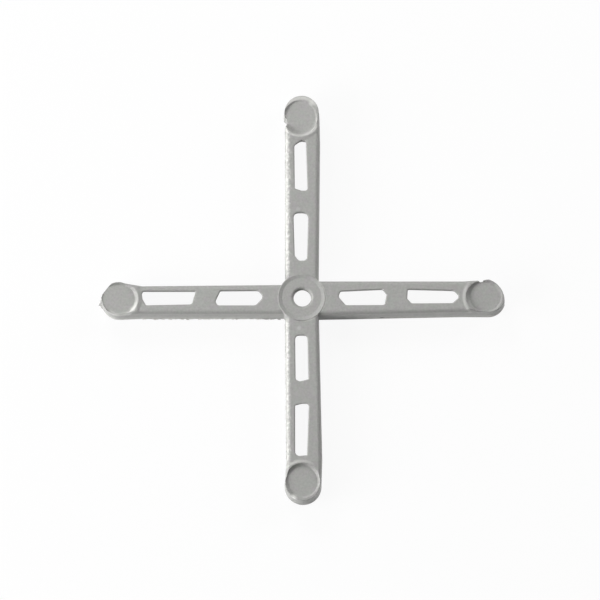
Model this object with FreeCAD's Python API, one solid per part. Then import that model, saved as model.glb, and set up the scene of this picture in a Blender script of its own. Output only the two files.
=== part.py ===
import FreeCAD, Part
import math
import os

os.makedirs("parts", exist_ok=True)

# A tile spacer moulded in one piece: four long arms that cross at a hub with a nail hole.
# It lies flat. The origin is on the underside, on the axis of the nail hole. +Z is up.
# Sizes are in millimetres and angles in degrees.

# The cross
height = 4.6                # underside to the flat top of the arms
joint_width = 5.0           # nominal width of an arm at the underside, the tile joint it keeps
arm_reach = 27.3            # nail hole to the middle of an arm's end, before that arm's own error
draft_angle = 1.6           # the outer walls lean in towards the top by this much
edge_radius = 0.58          # rounding of the arms' long top edges
overshoot = 0.3             # how far a cutter stands past the face that it cuts

# The hub
hub_radius = 3.65           # at the underside
hub_shift = -0.1            # the hub stands this far along X from the nail hole's axis
hub_lip_height = 0.09       # thin raised lip above the arms' top
hub_lip_inset = 0.07        # crest of the lip, in from the edge of the hub's top
hub_lip_slope = 0.55        # width of the slope from the crest down to the dished floor
hub_dish_depth = 0.09       # dished floor below the arms' top
neck_radius = 1.3           # straight part of the nail hole
neck_length = 1.05
mouth_round = 0.44          # rounding of the hole's upper edge
foot_flare_angle = 10.0     # below the neck the hole opens towards the underside

# The round pads at the ends of the arms
pad_radius = 2.66           # at the underside
pad_lip_height = 0.15       # top of the collar's slope above the arms' top
collar_width = 0.6          # slope on the arm's top, up to the rim of the dish
collar_inset = 0.1          # the collar's sides stand in from the arm's walls by this much
pad_fall_angle = 4.0        # from halfway up that slope, the rim falls by this much to the arm's end
dish_margin = 0.16          # the dish's nominal radius at the rim is less than the pad's foot by this
dish_wall_width = 0.38      # how far the dish's wall leans in down to its floor
dish_depth = 0.36           # dish floor below the arms' top
dish_round = 0.35           # rounding at the foot of the dish's wall
blend_length = 3.6          # the arm's sides turn towards the pad this far before its middle

# The slots, two in each arm
slot_width = 2.1            # nominal width at the top
slot_edge_radius = 0.18     # rounding of the slots' upper edges
slot_flare_angle = 8.0      # the slots open towards the underside by this much
hub_land = 1.85             # arm left whole between the hub and the inner slot
pad_land = 1.14             # arm left whole between the outer slot and the pad
web_length = 3.1            # arm left whole between the two slots
web_shift = -0.25           # the middle of that web, from the middle of the slots' whole length

# Each arm is set out along +X and turned into place, so left is its +Y side.
# left and right give how much wider than half the joint the side is, at the hub and at the pad.
# pad and dish give how far past arm_reach, and how far to the left, each one is centred.
# pad_growth is how much larger than pad_radius the pad is. dish_growth is how much larger the
# dish is across and along the arm, and dish_lean tilts it down to the left.
# A slot's corners run anticlockwise. At its hub end and at its pad end each corner is given as
# its distance in from that end, its side as a share of half the slot width, and its radius.
arms = {
    "right_arm": dict(
        turn=0.0, left=(0.07, 0.07), right=(0.22, -0.25),
        pad=(0.3, 0.27), pad_growth=-0.12, dish=(-0.28, 0.12), dish_growth=(0.12, 0.33), dish_lean=0.0,
        inner_hub_end=[(0.14, 0.87, 0.5), (-0.12, 0.08, 0.5), (0.95, -1.07, 0.4)],
        inner_pad_end=[(0.59, -1.04, 0.25), (0.29, 0.38, 0.3), (0.9, 1.12, 0.3)],
        outer_hub_end=[(-0.19, 1.13, 0.3), (-0.26, -0.18, 0.3), (0.36, -0.81, 0.3)],
        outer_pad_end=[(1.32, -0.77, 0.4), (0.31, 0.08, 0.35), (1.17, 0.96, 0.4)],
    ),
    "top_arm": dict(
        turn=90.0, left=(0.0, 0.0), right=(-0.07, 0.16),
        pad=(0.52, 0.1), pad_growth=0.0, dish=(-0.18, 0.22), dish_growth=(0.2, 0.36), dish_lean=3.0,
        inner_hub_end=[(0.76, 1.04, 0.5), (0.04, 0.5, 0.5), (0.06, -0.63, 0.6)],
        inner_pad_end=[(-0.03, -0.82, 0.9), (-0.03, 1.22, 0.8)],
        outer_hub_end=[(0.58, 1.03, 0.15), (0.26, 0.11, 0.5), (0.25, -0.7, 0.4)],
        outer_pad_end=[(0.03, -0.48, 0.5), (-0.08, 0.09, 0.5), (0.67, 1.1, 0.5)],
    ),
    "left_arm": dict(
        turn=180.0, left=(0.01, 0.02), right=(-0.425, -0.65),
        pad=(-0.09, 0.12), pad_growth=-0.12, dish=(-0.2, 0.2), dish_growth=(0.12, 0.37), dish_lean=0.0,
        inner_hub_end=[(1.41, 1.1, 0.7), (0.25, -0.08, 0.7), (1.12, -0.96, 0.8)],
        inner_pad_end=[(0.63, -0.92, 0.25), (-0.12, 0.61, 0.4), (0.23, 1.1, 0.3)],
        outer_hub_end=[(0.56, 0.96, 0.4), (0.02, -0.84, 0.05)],
        outer_pad_end=[(-0.13, -0.85, 0.6), (-0.18, 0.07, 0.5), (0.43, 1.09, 0.15)],
    ),
    "bottom_arm": dict(
        turn=270.0, left=(-0.08, 0.465), right=(0.03, -0.17),
        pad=(0.3, 0.11), pad_growth=0.07, dish=(0.08, 0.05), dish_growth=(0.2, 0.24), dish_lean=0.0,
        inner_hub_end=[(0.19, 0.69, 0.6), (0.19, -0.98, 0.6)],
        inner_pad_end=[(0.47, -0.91, 0.4), (0.2, -0.39, 0.4), (0.51, 0.82, 0.1)],
        outer_hub_end=[(0.09, 0.88, 0.6), (0.08, 0.03, 0.4), (0.33, -0.98, 0.15)],
        outer_pad_end=[(-0.11, -0.97, 0.6), (0.02, 0.63, 0.06)],
    ),
}

# Small round bites into the left edge near a pad. Each one's axis stands this far before
# arm_reach and this far out past half the joint, and the bite goes this far down, on the top
# arm right through.
bites = {
    "right_arm": dict(before=0.9, out=0.19, radius=0.4, depth=2.4),
    "top_arm": dict(before=0.95, out=0.62, radius=0.9, depth=4.9),
}

# Pads that are shaved on one side: the direction from the arm's own, the depth, and how many
# times the pad's radius the flatter curve there has.
shaves = {
    "right_arm": dict(angle=36.0, inset=0.36, flatness=1.24),
    "left_arm": dict(angle=-39.0, inset=0.19, flatness=4.0),
}

# Worked out from the sizes above
up = FreeCAD.Vector(0, 0, 1)
draft_slope = math.tan(math.radians(draft_angle))
flare_slope = math.tan(math.radians(slot_flare_angle))
top_inset = height * draft_slope
inner_slot_start = hub_radius + hub_land
outer_slot_end = arm_reach - pad_radius - pad_land
web_middle = (inner_slot_start + outer_slot_end) / 2 + web_shift
inner_slot_end = web_middle - web_length / 2
outer_slot_start = web_middle + web_length / 2
dish_radius = pad_radius - dish_margin
hub_floor = height - hub_dish_depth
hub_crest = height + hub_lip_height
pad_crest = height + pad_lip_height
dish_floor = height - dish_depth


def point(x, y, z):
    return FreeCAD.Vector(x, y, z)


def unit(vector):
    return vector * (1 / vector.Length)


def arc(start, middle, end):
    return Part.Arc(start, middle, end).toShape()


def line(start, end):
    return Part.LineSegment(start, end).toShape()


def end_centre(arm, key, z):
    # Centre of an arm's pad or dish, at a height
    past, side = arm[key]
    return point(arm_reach + past, side, z)


def tangent_point(outside, centre, radius, side):
    # Where a line from a point outside a circle touches it, on its left (1) or right (-1)
    heading = math.atan2(centre.y - outside.y, centre.x - outside.x)
    angle = heading + side * (math.pi - math.acos(radius / (centre - outside).Length))
    return centre + point(radius * math.cos(angle), radius * math.sin(angle), 0)


def arm_outline(arm, inset, z):
    # Two straight sides, a slight turn towards the pad, and the pad's round end
    half = joint_width / 2 - inset
    radius = pad_radius + arm["pad_growth"] - inset
    centre = end_centre(arm, "pad", z)
    left_hub = point(0, half + arm["left"][0], z)
    right_hub = point(0, -half - arm["right"][0], z)
    left_turn = point(arm_reach - blend_length, half + arm["left"][1], z)
    right_turn = point(arm_reach - blend_length, -half - arm["right"][1], z)
    left_touch = tangent_point(left_turn, centre, radius, 1)
    right_touch = tangent_point(right_turn, centre, radius, -1)
    return Part.Wire([
        line(right_hub, right_turn),
        line(right_turn, right_touch),
        arc(right_touch, centre + point(radius, 0, 0), left_touch),
        line(left_touch, left_turn),
        line(left_turn, left_hub),
        line(left_hub, right_hub),
    ])


def slot_outline(corners, grow, z):
    # Closed outline with rounded corners, grown outwards on every side
    count = len(corners)
    places = [point(along, side, z) for along, side, radius in corners]
    ways = [unit(places[(i + 1) % count] - places[i]) for i in range(count)]
    normals = [point(way.y, -way.x, 0) for way in ways]
    grown = []
    for i in range(count):
        both = normals[i - 1] + normals[i]
        grown.append(places[i] + both * (grow / (1 + normals[i - 1].dot(normals[i]))))
    starts = []
    middles = []
    ends = []
    for i in range(count):
        shorter = min((grown[i] - grown[i - 1]).Length, (grown[(i + 1) % count] - grown[i]).Length)
        half_turn = ways[i - 1].getAngle(ways[i]) / 2
        radius = min(corners[i][2] + grow, 0.45 * shorter / math.tan(half_turn))
        back = radius * math.tan(half_turn)
        inward = unit(ways[i] - ways[i - 1])
        starts.append(grown[i] - ways[i - 1] * back)
        middles.append(grown[i] + inward * (radius / math.cos(half_turn) - radius))
        ends.append(grown[i] + ways[i] * back)
    edges = []
    for i in range(count):
        edges.append(arc(starts[i], middles[i], ends[i]))
        edges.append(line(ends[i], starts[(i + 1) % count]))
    return Part.Wire(edges)


def slot_cutter(hub_end, pad_end, start, end):
    # Straight above the arm's top, and wider the further down it goes
    half = slot_width / 2
    corners = [(start + back, side * half, radius) for back, side, radius in hub_end]
    corners += [(end - back, side * half, radius) for back, side, radius in pad_end]
    at_top = slot_outline(corners, 0, height)
    below = slot_outline(corners, (height + overshoot) * flare_slope, -overshoot)
    above = Part.Face(at_top).extrude(up * overshoot)
    return Part.makeLoft([below, at_top], True, True).fuse(above)


def arm_blank(arm, inset):
    # Drafted bar with its long top edges rounded
    foot = arm_outline(arm, inset, 0)
    top = arm_outline(arm, inset + top_inset, height)
    bar = Part.makeLoft([foot, top], True, True)
    long_edges = []
    for edge in bar.Edges:
        ends = [vertex.Point for vertex in edge.Vertexes]
        on_top = all(abs(end.z - height) < 1e-6 for end in ends)
        if on_top and abs(ends[0].x - ends[1].x) > blend_length / 4:
            long_edges.append(edge)
    return bar.makeFillet(edge_radius, long_edges)


def arm_bar(arm):
    # The bar with its two slots
    bar = arm_blank(arm, 0).cut([
        slot_cutter(arm["inner_hub_end"], arm["inner_pad_end"], inner_slot_start, inner_slot_end),
        slot_cutter(arm["outer_hub_end"], arm["outer_pad_end"], outer_slot_start, outer_slot_end),
    ])
    flat_top = max(bar.Faces, key=lambda face: face.CenterOfMass.z)
    rims = [wire for wire in flat_top.Wires if not wire.isSame(flat_top.OuterWire)]
    return bar.makeFillet(slot_edge_radius, [edge for rim in rims for edge in rim.Edges])


def pad_boss(arm):
    # Drafted round end that stands a little above the arm
    radius = pad_radius + arm["pad_growth"]
    top_radius = radius - pad_crest * draft_slope
    return Part.makeCone(radius, top_radius, pad_crest, end_centre(arm, "pad", 0), up)


def pad_collar(arm):
    # Slope from the arm's top up to the dish's rim, which follows the arm's rounded edges
    radius = dish_radius + collar_width
    centre = end_centre(arm, "dish", height) - point(arm["dish_growth"][1], 0, 0)
    below = Part.makeCylinder(radius, edge_radius, centre - up * edge_radius, up)
    slope = Part.makeCone(radius, dish_radius, pad_lip_height, centre, up)
    raised = arm_blank(arm, collar_inset)
    raised.translate(up * pad_lip_height)
    return below.fuse(slope).common(raised)


def ellipse(centre, along, across):
    wire = Part.Wire(Part.Ellipse(point(0, 0, 0), max(along, across), min(along, across)).toShape())
    if across > along:
        wire.rotate(point(0, 0, 0), up, 90)
    wire.translate(centre)
    return wire


def pad_dish(arm):
    # Shallow dish with the foot of its wall rounded
    wall_slope = dish_wall_width / (pad_crest - dish_floor)
    across = dish_radius + arm["dish_growth"][0]
    along = dish_radius + arm["dish_growth"][1]
    floor_centre = end_centre(arm, "dish", dish_floor)
    top_centre = end_centre(arm, "dish", pad_crest + overshoot)
    floor = ellipse(floor_centre, along - dish_wall_width, across - dish_wall_width)
    rim = ellipse(top_centre, along + overshoot * wall_slope, across + overshoot * wall_slope)
    cutter = Part.makeLoft([floor, rim], True, True)
    floor_edges = [edge for edge in cutter.Edges if edge.CenterOfMass.z < dish_floor + 1e-3]
    cutter = cutter.makeFillet(dish_round, floor_edges)
    cutter.rotate(floor_centre, point(1, 0, 0), -arm["dish_lean"])
    return cutter


def pad_fall(arm):
    # Everything above a plane that falls from the hub side of the dish to the arm's end
    start = dish_radius + arm["dish_growth"][1] + collar_width / 2
    block = Part.makeBox(3 * pad_radius, 4 * pad_radius, pad_radius, point(0, -2 * pad_radius, 0))
    block.rotate(point(0, 0, 0), point(0, 1, 0), pad_fall_angle)
    block.translate(end_centre(arm, "dish", pad_crest) - point(start, 0, 0))
    return block


def pad_shave(arm, angle, inset, flatness):
    # Everything past a flatter, drafted curve across one side of the round end
    shave_radius = flatness * pad_radius
    reach = pad_radius + arm["pad_growth"] - top_inset - inset
    tall = pad_crest + 2 * overshoot
    low_radius = shave_radius + (height + overshoot) * draft_slope
    kept = Part.makeCone(
        low_radius, low_radius - tall * draft_slope, tall, point(reach - shave_radius, 0, -overshoot), up)
    block = Part.makeBox(2 * reach, 4 * reach, tall, point(reach / 2, -2 * reach, -overshoot)).cut(kept)
    block.rotate(point(0, 0, 0), up, angle)
    block.translate(end_centre(arm, "pad", 0))
    return block


def edge_bite(before, out, radius, depth):
    # A round bite into the left edge, from above
    base = point(arm_reach - before, joint_width / 2 + out, height - depth)
    return Part.makeCylinder(radius, depth + overshoot, base, up)


def turned(edges):
    # Solid of revolution about the Z axis from a closed profile
    return Part.Face(Part.Wire(edges)).revolve(point(0, 0, 0), up, 360)


def polygon(corners):
    # Closed run of straight edges through (radius, z) corners
    places = [point(radius, 0, z) for radius, z in corners]
    return [line(places[i - 1], places[i]) for i in range(len(places))]


def hub_boss():
    # Drafted boss with a thin lip round its top
    top_radius = hub_radius - top_inset
    crest_radius = top_radius - hub_lip_inset
    profile = [(0, 0), (hub_radius, 0), (top_radius, height), (crest_radius, hub_crest), (0, hub_crest)]
    return turned(polygon(profile))


def hub_dish():
    # Everything above the dished floor, inside the lip
    crest_radius = hub_radius - top_inset - hub_lip_inset
    floor_edge = (crest_radius - hub_lip_slope, hub_floor)
    top = hub_crest + overshoot
    profile = [(0, hub_floor), floor_edge, (crest_radius, hub_crest), (crest_radius, top), (0, top)]
    return turned(polygon(profile))


def nail_hole():
    # From the underside up: a flared foot, a straight neck and a rounded mouth
    neck_top = hub_floor - mouth_round
    neck_base = neck_top - neck_length
    mouth_radius = neck_radius + mouth_round
    foot_radius = neck_radius + (neck_base + overshoot) * math.tan(math.radians(foot_flare_angle))
    rounding_centre = point(mouth_radius, 0, neck_top)
    corner = point(-mouth_round * math.cos(math.pi / 4), 0, mouth_round * math.sin(math.pi / 4))
    low_axis = point(0, 0, -overshoot)
    high_axis = point(0, 0, hub_floor + overshoot)
    low_foot = point(foot_radius, 0, -overshoot)
    neck_low = point(neck_radius, 0, neck_base)
    neck_high = point(neck_radius, 0, neck_top)
    mouth_edge = point(mouth_radius, 0, hub_floor)
    mouth_top = point(mouth_radius, 0, hub_floor + overshoot)
    return turned([
        line(low_axis, low_foot),
        line(low_foot, neck_low),
        line(neck_low, neck_high),
        arc(neck_high, rounding_centre + corner, mouth_edge),
        line(mouth_edge, mouth_top),
        line(mouth_top, high_axis),
        line(high_axis, low_axis),
    ])


boss = hub_boss()
dish = hub_dish()
for shape in [boss, dish]:
    shape.translate(point(hub_shift, 0, 0))
added = [boss]
removed = [dish, nail_hole()]
for name, arm in arms.items():
    raised = [arm_bar(arm), pad_boss(arm), pad_collar(arm)]
    sunk = [pad_dish(arm), pad_fall(arm)]
    if name in bites:
        sunk.append(edge_bite(**bites[name]))
    if name in shaves:
        sunk.append(pad_shave(arm, **shaves[name]))
    for shape in raised + sunk:
        shape.rotate(point(0, 0, 0), up, arm["turn"])
    added += raised
    removed += sunk

spacer = added[0].fuse(added[1:]).cut(removed).removeSplitter().Solids[0]
spacer.exportStep("parts/spacer_cross.step")

box = spacer.optimalBoundingBox()
print("valid", spacer.isValid(), "faces", len(spacer.Faces), "volume", round(spacer.Volume, 1))
print("from", round(box.XMin, 2), round(box.YMin, 2), round(box.ZMin, 2))
print("to", round(box.XMax, 2), round(box.YMax, 2), round(box.ZMax, 2))
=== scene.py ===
import math
import bmesh
import bpy
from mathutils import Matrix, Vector


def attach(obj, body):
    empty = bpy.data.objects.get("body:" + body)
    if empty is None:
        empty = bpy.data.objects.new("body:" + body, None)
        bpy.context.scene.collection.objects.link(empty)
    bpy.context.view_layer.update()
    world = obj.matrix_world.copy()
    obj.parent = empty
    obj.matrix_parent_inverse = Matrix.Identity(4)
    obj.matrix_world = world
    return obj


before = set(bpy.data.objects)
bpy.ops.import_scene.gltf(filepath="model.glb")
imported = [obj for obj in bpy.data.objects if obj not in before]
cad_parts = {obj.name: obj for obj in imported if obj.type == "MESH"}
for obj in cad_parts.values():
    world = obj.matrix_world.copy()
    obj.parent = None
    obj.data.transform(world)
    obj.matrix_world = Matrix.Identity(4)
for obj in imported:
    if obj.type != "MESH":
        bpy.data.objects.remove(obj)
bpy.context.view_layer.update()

mm = 0.001
noiseRange = (0.3, 0.7)     # where nearly all of a noise's values lie


def hexToLinear(code):
    channels = [int(code[i:i + 2], 16) / 255 for i in (1, 3, 5)]
    return [c / 12.92 if c <= 0.04045 else ((c + 0.055) / 1.055) ** 2.4 for c in channels] + [1.0]


def addNode(tree, kind, settings=None, links=None):
    node = tree.nodes.new(kind)
    for key, value in (settings or {}).items():
        if isinstance(key, str) and hasattr(node, key):
            setattr(node, key, value)
        else:
            node.inputs[key].default_value = value
    for key, source in (links or {}).items():
        tree.links.new(source, node.inputs[key])
    return node


def number(tree, operation, *values):
    # each value is a number or another node's output
    node = addNode(tree, "ShaderNodeMath", {"operation": operation})
    for place, value in zip(node.inputs, values):
        if isinstance(value, bpy.types.NodeSocket):
            tree.links.new(value, place)
        else:
            place.default_value = value
    return node.outputs[0]


def product(tree, first, *others):
    for other in others:
        first = number(tree, "MULTIPLY", first, other)
    return first


def ramp(tree, value, span, unit=mm):
    # 0 at the span's first number, 1 at its second
    return addNode(tree, "ShaderNodeMapRange", {
        "interpolation_type": "SMOOTHSTEP", "From Min": span[0] * unit, "From Max": span[1] * unit},
        {"Value": value}).outputs["Result"]


def noise(tree, place, size, detail):
    return addNode(tree, "ShaderNodeTexNoise", {"Scale": 1 / (size * mm), "Detail": detail},
                   {"Vector": place}).outputs["Fac"]


def fromNoise(tree, value, low, high):
    return addNode(tree, "ShaderNodeMapRange", {
        "From Min": noiseRange[0], "From Max": noiseRange[1], "To Min": low, "To Max": high},
        {"Value": value}).outputs["Result"]


def blend(tree, share, under, over):
    return addNode(tree, "ShaderNodeMix", {"data_type": "RGBA", 7: hexToLinear(over)},
                   {0: share, 6: under}).outputs[2]


def emptyMaterial(name):
    material = bpy.data.materials.new(name)
    material.use_nodes = True
    material.node_tree.nodes.clear()
    return material


def addToScene(obj):
    bpy.context.scene.collection.objects.link(obj)
    return obj


# whitened left edges of the two arms that lie in Y: partly pale flash, partly a painted highlight on the side
# that the light falls on
flashAndLitSheen = {
    "colour": "#D9D9D5",
    "rag": 0.5,             # mm across one tooth of its border
    "wander": 0.35,         # mm that the border strays
    "x": (-1.7, -2.65),     # mm, from grey to whitened
    "startY": (3.0, 3.8),   # mm from the hole, just past the hub
    "endY": (25.0, 23.8),   # mm from the hole, before the pads
    "topZ": (3.5, 4.0),     # mm above the underside, the upper edge
    "footZ": (0.7, 0.2),    # mm above the underside, the foot of the wall
}

# near walls of the two arms that lie in X: painted light, paler towards the foot where the floor lights them,
# with a broken pale line on the left one
paintedFootLightAndLine = {
    "colour": "#C2C2BD",
    "x": (5.0, 11.0),           # mm from the hole
    "y": (-1.4, -1.8),          # mm, the near walls only
    "z": (2.6, -0.4),           # mm above the underside
    "lineX": (-4.0, -6.0),      # mm
    "lineZ": (0.75, 0.225),     # mm above the underside
    "lineGap": 1.1,             # mm across one gap in the line
    "lineCut": (0.38, 0.52),    # noise values between gap and line
}

# painted highlights on the crests of the hub's lip and the pads' rims, each a part of a thin ring, in mm:
# its centre, radius and width, the side and the lowest height where it shows, and how strong
crestHighlights = {
    "hubLip": {"at": (-0.10, 0, 0), "radius": 3.52, "width": 0.16, "side": (0.96, -0.28, 0), "low": 4.3,
               "colour": "#DEDEDA", "strength": 0.8},
    "topCollar": {"at": (-0.37, 27.25, 0), "radius": 2.91, "width": 0.35, "side": (0, -1, 0), "low": 3.9,
                  "colour": "#D4D4D0", "strength": 0.65},
    "topFarRim": {"at": (-0.19, 27.20, 0), "radius": 2.85, "width": 0.45, "side": (-0.2, 0.98, 0),
                  "low": 3.9, "colour": "#D8D8D4", "strength": 0.6},
    "rightCollar": {"at": (26.84, 0.03, 0), "radius": 2.98, "width": 0.27, "side": (-0.88, -0.47, 0),
                    "low": 3.2, "colour": "#D0D0CC", "strength": 0.3},
    "leftCollar": {"at": (-26.78, -0.49, 0), "radius": 2.20, "width": 0.38, "side": (0.35, -0.94, 0),
                   "low": 3.2, "colour": "#D8D8D4", "strength": 0.65},
    "bottomCollar": {"at": (-0.04, -27.63, 0), "radius": 3.25, "width": 0.28, "side": (-0.6, 0.8, 0),
                     "low": 3.9, "colour": "#D4D4D0", "strength": 0.35},
}

# small marks: a dark speck, a pale scuff and flow mark, pale spots on the left pad's rim, and painted
# highlights on the pads' rims and lip: where (mm), how far they reach (mm), colour, and how strong
marks = {
    "darkSpeck": {"at": (11.8, -2.45, 0.9), "reach": 0.55, "colour": "#4C4A48", "strength": 0.8},
    "paleScuff": {"at": (-0.49, -4.6, 4.6), "reach": 0.45, "colour": "#C4C6C4", "strength": 0.5},
    "paleFlowMark": {"at": (-0.6, 13.2, 4.6), "reach": 0.5, "colour": "#BDBEBC", "strength": 0.4},
    # the next three are painted highlights on the pads' rims
    "bottomRimHighlight": {"at": (-1.3, -29.75, 4.3), "reach": 0.75, "colour": "#E2E2DE", "strength": 0.85},
    "topRimHighlight": {"at": (1.4, 29.3, 4.5), "reach": 0.7, "colour": "#D4D4D0", "strength": 0.7},
    "topRimHighlightStreak": {"at": (2.2, 26.8, 4.6), "reach": 0.55, "colour": "#D0D0CC", "strength": 0.5},
    "leftRimSpot": {"at": (-28.4, -2.4, 4.5), "reach": 0.6, "colour": "#D4D4D0", "strength": 0.6},
    "leftRimStreak": {"at": (-27.3, -2.6, 3.4), "reach": 0.9, "colour": "#C8C8C2", "strength": 0.6},
    # a painted highlight on the left pad's lip
    "leftLipHighlight": {"at": (-25.0, -1.7, 4.6), "reach": 0.8, "colour": "#DADAD6", "strength": 0.6},
}

markCore = 0.2              # share of a mark's reach or a crest's width that has its full colour
crestHighlightTurn = (0.2, 0.7)      # cosines from a crest's side, from its end to its full colour
crestHighlightRise = 0.4             # mm above its lowest height that it takes to appear


def addFlashAndLitSheen(tree, p, axis, wander, colour):
    near = ramp(tree, number(tree, "ADD", axis["X"], wander), p["x"])
    along = number(tree, "ABSOLUTE", axis["Y"])
    edges = number(tree, "MAXIMUM", ramp(tree, axis["Z"], p["topZ"]), ramp(tree, axis["Z"], p["footZ"]))
    share = product(tree, near, ramp(tree, along, p["startY"]), ramp(tree, along, p["endY"]), edges)
    return blend(tree, share, colour, p["colour"])


def addFootLightAndLine(tree, p, place, axis, wander, colour):
    front = ramp(tree, axis["Y"], p["y"])
    low = ramp(tree, number(tree, "ADD", axis["Z"], wander), p["z"])
    away = ramp(tree, number(tree, "ABSOLUTE", axis["X"]), p["x"])
    colour = blend(tree, product(tree, low, away, front), colour, p["colour"])
    broken = ramp(tree, noise(tree, place, p["lineGap"], 2.0), p["lineCut"], 1)
    line = product(tree, ramp(tree, axis["Z"], p["lineZ"]), broken, ramp(tree, axis["X"], p["lineX"]), front)
    return blend(tree, line, colour, flashAndLitSheen["colour"])


def addCrestHighlight(tree, p, place, height, colour):
    centre = [c * mm for c in p["at"]]
    out = addNode(tree, "ShaderNodeVectorMath", {"operation": "SUBTRACT", 1: centre}, {0: place}).outputs[0]
    flat = addNode(tree, "ShaderNodeVectorMath", {"operation": "MULTIPLY", 1: (1, 1, 0)}, {0: out}).outputs[0]
    far = addNode(tree, "ShaderNodeVectorMath", {"operation": "LENGTH"}, {0: flat}).outputs["Value"]
    gap = number(tree, "ABSOLUTE", number(tree, "SUBTRACT", far, p["radius"] * mm))
    ring = ramp(tree, gap, (p["width"], p["width"] * markCore))
    heading = addNode(tree, "ShaderNodeVectorMath", {"operation": "NORMALIZE"}, {0: flat}).outputs[0]
    turn = addNode(tree, "ShaderNodeVectorMath", {"operation": "DOT_PRODUCT", 1: p["side"]},
                   {0: heading}).outputs["Value"]
    upper = ramp(tree, height, (p["low"], p["low"] + crestHighlightRise))
    share = product(tree, ring, ramp(tree, turn, crestHighlightTurn, 1), upper, p["strength"])
    return blend(tree, share, colour, p["colour"])


def addMark(tree, p, place, colour):
    centre = [c * mm for c in p["at"]]
    away = addNode(tree, "ShaderNodeVectorMath", {"operation": "DISTANCE", 1: centre},
                   {0: place}).outputs["Value"]
    spot = ramp(tree, away, (p["reach"], p["reach"] * markCore))
    return blend(tree, product(tree, spot, p["strength"]), colour, p["colour"])


# material: grey polypropylene, injection moulded against a lightly spark-eroded mould:
# to the eye a soft satin grey, faintly mottled
plastic = {
    "face": "#A4A4A1",          # flat top of the arms
    "warm": "#A5A3A3",          # faint warm and green patches in the grey
    "cool": "#A3A5A1",
    "tintStops": (0.36, 0.5, 0.64),     # noise values of warm, face and cool
    "patchSize": 0.8,           # mm across one patch
    "speckSize": 0.30,          # mm, flow marks, drawn as coarse as they need to show
    "mottle": (0.925, 1.075),   # darkest and lightest flow mark
    "roughness": (0.44, 0.58),
    "refraction": 1.49,
    "gloss": 0.3,
    "grainSize": 0.16,          # mm, erosion grain of the mould, coarser than real so that it shows
    "grainHeight": 0.006,       # mm
    "waveSize": 2.6,            # mm, sink and flow waviness
    "waveHeight": 0.03,         # mm
    "edgeRound": 0.14,          # mm, the moulding's edges are never sharp
}


def makePlastic(p):
    material = emptyMaterial("greyPolypropyleneMoulded")
    tree = material.node_tree
    place = addNode(tree, "ShaderNodeTexCoord").outputs["Object"]
    patches = noise(tree, place, p["patchSize"], 3.0)
    specks = noise(tree, place, p["speckSize"], 2.0)
    tint = addNode(tree, "ShaderNodeValToRGB", links={"Fac": patches})
    stops = tint.color_ramp.elements
    first, middle, last = p["tintStops"]
    stops[0].position = first
    stops[0].color = hexToLinear(p["warm"])
    stops[1].position = last
    stops[1].color = hexToLinear(p["cool"])
    stops.new(middle).color = hexToLinear(p["face"])
    colour = addNode(tree, "ShaderNodeVectorMath", {"operation": "SCALE"}, {
        "Vector": tint.outputs["Color"], "Scale": fromNoise(tree, specks, *p["mottle"])}).outputs["Vector"]

    axis = addNode(tree, "ShaderNodeSeparateXYZ", links={"Vector": place}).outputs
    stray = flashAndLitSheen["wander"] * mm
    wander = fromNoise(tree, noise(tree, place, flashAndLitSheen["rag"], 3.0), -stray, stray)
    # painted highlight on the lit left edges, partly pale flash
    colour = addFlashAndLitSheen(tree, flashAndLitSheen, axis, wander, colour)
    # painted floor light on the near walls, and a broken pale line
    colour = addFootLightAndLine(tree, paintedFootLightAndLine, place, axis, wander, colour)
    # painted highlights on the crests of the hub's lip and the pads' rims
    for crest in crestHighlights.values():
        colour = addCrestHighlight(tree, crest, place, axis["Z"], colour)
    # small marks, some of them painted highlights
    for mark in marks.values():
        colour = addMark(tree, mark, place, colour)

    rounded = addNode(tree, "ShaderNodeBevel", {"samples": 6, "Radius": p["edgeRound"] * mm})
    waves = addNode(tree, "ShaderNodeBump", {"Strength": 1.0, "Distance": p["waveHeight"] * mm},
                    {"Height": noise(tree, place, p["waveSize"], 1.0), "Normal": rounded.outputs["Normal"]})
    grain = addNode(tree, "ShaderNodeBump", {"Strength": 1.0, "Distance": p["grainHeight"] * mm},
                    {"Height": noise(tree, place, p["grainSize"], 2.0), "Normal": waves.outputs["Normal"]})
    shader = addNode(tree, "ShaderNodeBsdfPrincipled",
                     {"IOR": p["refraction"], "Specular IOR Level": p["gloss"]},
                     {"Base Color": colour, "Roughness": fromNoise(tree, patches, *p["roughness"]),
                      "Normal": grain.outputs["Normal"]})
    addNode(tree, "ShaderNodeOutputMaterial", links={"Surface": shader.outputs["BSDF"]})
    return material


greyPlastic = makePlastic(plastic)
print("material made:", greyPlastic.name)

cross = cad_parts["spacer_cross"]
for materialSlot in cross.material_slots:
    materialSlot.material = greyPlastic
if not cross.material_slots:
    cross.data.materials.append(greyPlastic)
print("cross dressed")

# flash: ragged slivers at the foot of some edges, where the mould halves met
flash = {
    "spacing": 0.24,                # mm between slivers
    "spread": 0.07,                 # mm, how far a sliver strays from the edge
    "strayShape": (1, 1, 0.3),      # of that, in X, Y and Z
    "length": 0.30,                 # mm, half length along the edge
    "width": 0.13,                  # mm, how far it stands out from the wall
    "thickness": 0.06,              # mm, half
    "smallest": (0.2, 0.5, 0.3),    # of the width, thickness and length, for the smallest sliver
    "seed": 11,
    "height": 0.09,                 # mm above the underside
    "runs": [                       # the edges that the photo shows ragged, in mm
        [(-2.49, 3.5), (-2.49, 23.6)],
        [(-2.52, -3.5), (-2.32, -23.4)],
        [(-3.5, -2.51), (-23.6, -2.52)],
    ],
}


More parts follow.
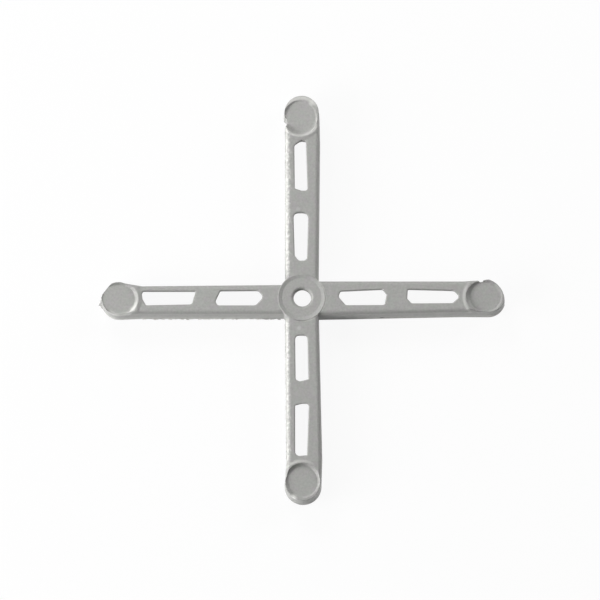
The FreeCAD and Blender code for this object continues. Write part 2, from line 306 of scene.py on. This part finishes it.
def makeFlashTree(p):
    tree = bpy.data.node_groups.new("ragAlongEdge", "GeometryNodeTree")
    face = tree.interface
    face.new_socket("Geometry", in_out="INPUT", socket_type="NodeSocketGeometry")
    for name in ("Spacing", "Spread", "Length", "Width", "Thickness"):
        face.new_socket(name, in_out="INPUT", socket_type="NodeSocketFloat")
    face.new_socket("Seed", in_out="INPUT", socket_type="NodeSocketInt")
    face.new_socket("Material", in_out="INPUT", socket_type="NodeSocketMaterial")
    face.new_socket("Geometry", in_out="OUTPUT", socket_type="NodeSocketGeometry")
    given = addNode(tree, "NodeGroupInput").outputs
    edge = addNode(tree, "GeometryNodeMeshToCurve", links={"Mesh": given["Geometry"]})
    dots = addNode(tree, "GeometryNodeCurveToPoints", {"mode": "LENGTH"},
                   {"Curve": edge.outputs[0], "Length": given["Spacing"]})
    least, most = (addNode(tree, "ShaderNodeVectorMath",
                           {"operation": "SCALE", 0: [way * c for c in p["strayShape"]]},
                           {"Scale": given["Spread"]}).outputs[0] for way in (-1, 1))
    stray = addNode(tree, "FunctionNodeRandomValue", {"data_type": "FLOAT_VECTOR"},
                    {0: least, 1: most, "Seed": given["Seed"]})
    strewn = addNode(tree, "GeometryNodeSetPosition",
                     links={"Geometry": dots.outputs["Points"], "Offset": stray.outputs[0]})
    size = addNode(tree, "ShaderNodeCombineXYZ",
                   links={"X": given["Width"], "Y": given["Thickness"], "Z": given["Length"]})
    part = addNode(tree, "FunctionNodeRandomValue",
                   {"data_type": "FLOAT_VECTOR", 0: p["smallest"], 1: (1, 1, 1)}, {"Seed": given["Seed"]})
    scale = addNode(tree, "ShaderNodeVectorMath", {"operation": "MULTIPLY"},
                    {0: size.outputs[0], 1: part.outputs[0]})
    sliver = addNode(tree, "GeometryNodeMeshIcoSphere", {"Radius": 1.0, "Subdivisions": 1})
    slivers = addNode(tree, "GeometryNodeInstanceOnPoints", links={
        "Points": strewn.outputs[0], "Instance": sliver.outputs["Mesh"],
        "Rotation": dots.outputs["Rotation"], "Scale": scale.outputs[0]})
    real = addNode(tree, "GeometryNodeRealizeInstances", links={"Geometry": slivers.outputs[0]})
    done = addNode(tree, "GeometryNodeSetMaterial",
                   links={"Geometry": real.outputs[0], "Material": given["Material"]})
    addNode(tree, "NodeGroupOutput", links={"Geometry": done.outputs[0]})
    return tree


def addPiece(name, mesh):
    piece = addToScene(bpy.data.objects.new(name, mesh))
    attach(piece, "root")
    print(name, "made:", len(mesh.polygons), "faces")


def makeFlash(p, material):
    corners = [(x * mm, y * mm, p["height"] * mm) for run in p["runs"] for x, y in run]
    edgeLine = bpy.data.meshes.new("flashLine")
    edgeLine.from_pydata(corners, [(i, i + 1) for i in range(0, len(corners), 2)], [])
    carrier = addToScene(bpy.data.objects.new("flashLine", edgeLine))
    tree = makeFlashTree(p)
    modifier = carrier.modifiers.new("rag", "NODES")
    modifier.node_group = tree
    sizes = {name: p[name.lower()] * mm for name in ("Spacing", "Spread", "Length", "Width", "Thickness")}
    sizes["Seed"] = p["seed"]
    sizes["Material"] = material
    for item in tree.interface.items_tree:
        if item.item_type == "SOCKET" and item.in_out == "INPUT" and item.name in sizes:
            modifier[item.identifier] = sizes[item.name]
    shown = carrier.evaluated_get(bpy.context.evaluated_depsgraph_get())
    mesh = bpy.data.meshes.new_from_object(shown)
    bpy.data.objects.remove(carrier)
    addPiece("mouldingFlash", mesh)


# burr: a torn flake left at the end of the left arm's pad
burr = {
    "rim": [(-29.55, 0.95), (-29.92, 0.70), (-29.84, 0.42), (-30.00, 0.18), (-29.96, -0.10), (-30.16, -0.28),
            (-30.24, -0.50), (-29.96, -0.58), (-29.86, -0.86), (-29.62, -1.02), (-29.40, -1.25)],   # mm
    "root": (-29.30, -0.15),    # mm, inside the pad's wall
    "low": 0.02,                # mm above the underside
    "rimThick": 0.16 / 3,       # mm
    "rootThick": 0.32,          # mm
}


def makeBurr(p, material):
    count = len(p["rim"])
    outline = [(*spot, p["rimThick"]) for spot in p["rim"]] + [(*p["root"], p["rootThick"])]
    low = [(x * mm, y * mm, p["low"] * mm) for x, y, thick in outline]
    high = [(x * mm, y * mm, (p["low"] + thick) * mm) for x, y, thick in outline]
    top = count + 1
    faces = []
    for i in range(count):
        j = i + 1
        faces.append((i, j, top + j, top + i))
        if j < count:
            faces.append((count, j, i))
            faces.append((top + count, top + i, top + j))
    faces.append((count, 0, top, top + count))
    mesh = bpy.data.meshes.new("padBurr")
    mesh.from_pydata(low + high, [], faces)
    mesh.materials.append(material)
    mesh.validate()
    mesh.update()
    closed = bmesh.new()
    closed.from_mesh(mesh)
    bmesh.ops.recalc_face_normals(closed, faces=closed.faces)
    closed.to_mesh(mesh)
    closed.free()
    addPiece("padBurr", mesh)


makeFlash(flash, greyPlastic)
makeBurr(burr, greyPlastic)

# floor: plain white board, most of it flat white to the camera, the rest lit so that the shadow shows
floorBoard = {
    "size": 3.0,            # m
    "drop": 0.02,           # mm below the part
    "colour": "#E8E8E8",
    "paper": 0.93,          # the flat white's share
}


def makeFloor(p):
    half = p["size"] / 2
    mesh = bpy.data.meshes.new("floorBoard")
    mesh.from_pydata([(-half, -half, 0), (half, -half, 0), (half, half, 0), (-half, half, 0)], [],
                     [(0, 1, 2, 3)])
    floor = addToScene(bpy.data.objects.new("floorBoard", mesh))
    floor.location.z = -p["drop"] * mm
    material = emptyMaterial("whiteBoard")
    tree = material.node_tree
    ray = addNode(tree, "ShaderNodeLightPath").outputs
    seen = number(tree, "MAXIMUM", ray["Is Camera Ray"], ray["Is Glossy Ray"])
    seen = number(tree, "MAXIMUM", seen, ray["Is Transmission Ray"])
    lit = addNode(tree, "ShaderNodeBsdfDiffuse", {"Color": hexToLinear(p["colour"])})
    white = addNode(tree, "ShaderNodeEmission", {"Strength": 1.0})
    both = addNode(tree, "ShaderNodeMixShader",
                   links={0: product(tree, seen, p["paper"]), 1: lit.outputs[0], 2: white.outputs[0]})
    addNode(tree, "ShaderNodeOutputMaterial", links={"Surface": both.outputs[0]})
    mesh.materials.append(material)


makeFloor(floorBoard)

# light: soft round windows, most of them on the left and one of them low, and a reflector on the right
lampSize = 0.20             # m across
lamps = {                   # where, in m, and watts
    "leftWindow": ((-0.346, 0.000, 0.200), 0.60),
    "backWindow": ((-0.133, 0.286, 0.246), 0.75),
    "frontLeftWindow": ((-0.310, -0.165, 0.190), 0.84),
    "lowLeftStrip": ((-0.368, -0.080, 0.083), 0.70),
    "rightReflector": ((0.306, 0.177, 0.188), 0.75),
}

for name, (spot, watts) in lamps.items():
    data = bpy.data.lights.new(name, "AREA")
    data.shape = "DISK"
    data.size = lampSize
    data.energy = watts
    lamp = addToScene(bpy.data.objects.new(name, data))
    lamp.location = spot
    lamp.rotation_euler = (-Vector(spot)).to_track_quat("-Z", "Y").to_euler()

room = {"ambient": 0.02, "backdrop": 1.0}   # strengths, the second one for the camera only


def makeRoom(p):
    world = bpy.data.worlds.new("paleRoom")
    world.use_nodes = True
    tree = world.node_tree
    tree.nodes.clear()
    cameraRay = addNode(tree, "ShaderNodeLightPath").outputs["Is Camera Ray"]
    strength = addNode(tree, "ShaderNodeMapRange", {"To Min": p["ambient"], "To Max": p["backdrop"]},
                       {"Value": cameraRay}).outputs["Result"]
    glow = addNode(tree, "ShaderNodeBackground", {"Color": (1, 1, 1, 1)}, {"Strength": strength})
    addNode(tree, "ShaderNodeOutputWorld", links={"Surface": glow.outputs[0]})
    bpy.context.scene.world = world


makeRoom(room)
print("floor, lamps and room made")

# camera: nearly straight down, nine degrees towards -Y, as the near walls show
shot = {
    "tilt": 9.0,
    "distance": 900.0,              # mm, long lens
    "frame": 600,                   # pixels across
    "pixel": 0.1477,                # mm at the top face
    "holePixel": (302.3, 297.2),    # where the nail hole's axis meets the top, in that frame
    "topHeight": 4.72,              # mm
    "sensor": 36.0,                 # mm
}


def makeCamera(p):
    data = bpy.data.cameras.new("photoCamera")
    data.sensor_width = p["sensor"]
    data.lens = p["sensor"] * p["distance"] / (p["frame"] * p["pixel"])
    tilt = math.radians(p["tilt"])
    right = (p["frame"] / 2 - p["holePixel"][0]) * p["pixel"]
    up = (p["holePixel"][1] - p["frame"] / 2) * p["pixel"] / math.cos(tilt)
    away = Vector((0, -math.sin(tilt), math.cos(tilt)))
    camera = addToScene(bpy.data.objects.new("photoCamera", data))
    camera.location = Vector((right, up, p["topHeight"])) * mm + away * p["distance"] * mm
    camera.rotation_euler = (tilt, 0, 0)
    bpy.context.scene.camera = camera


makeCamera(shot)
bpy.context.scene.view_settings.view_transform = "Standard"
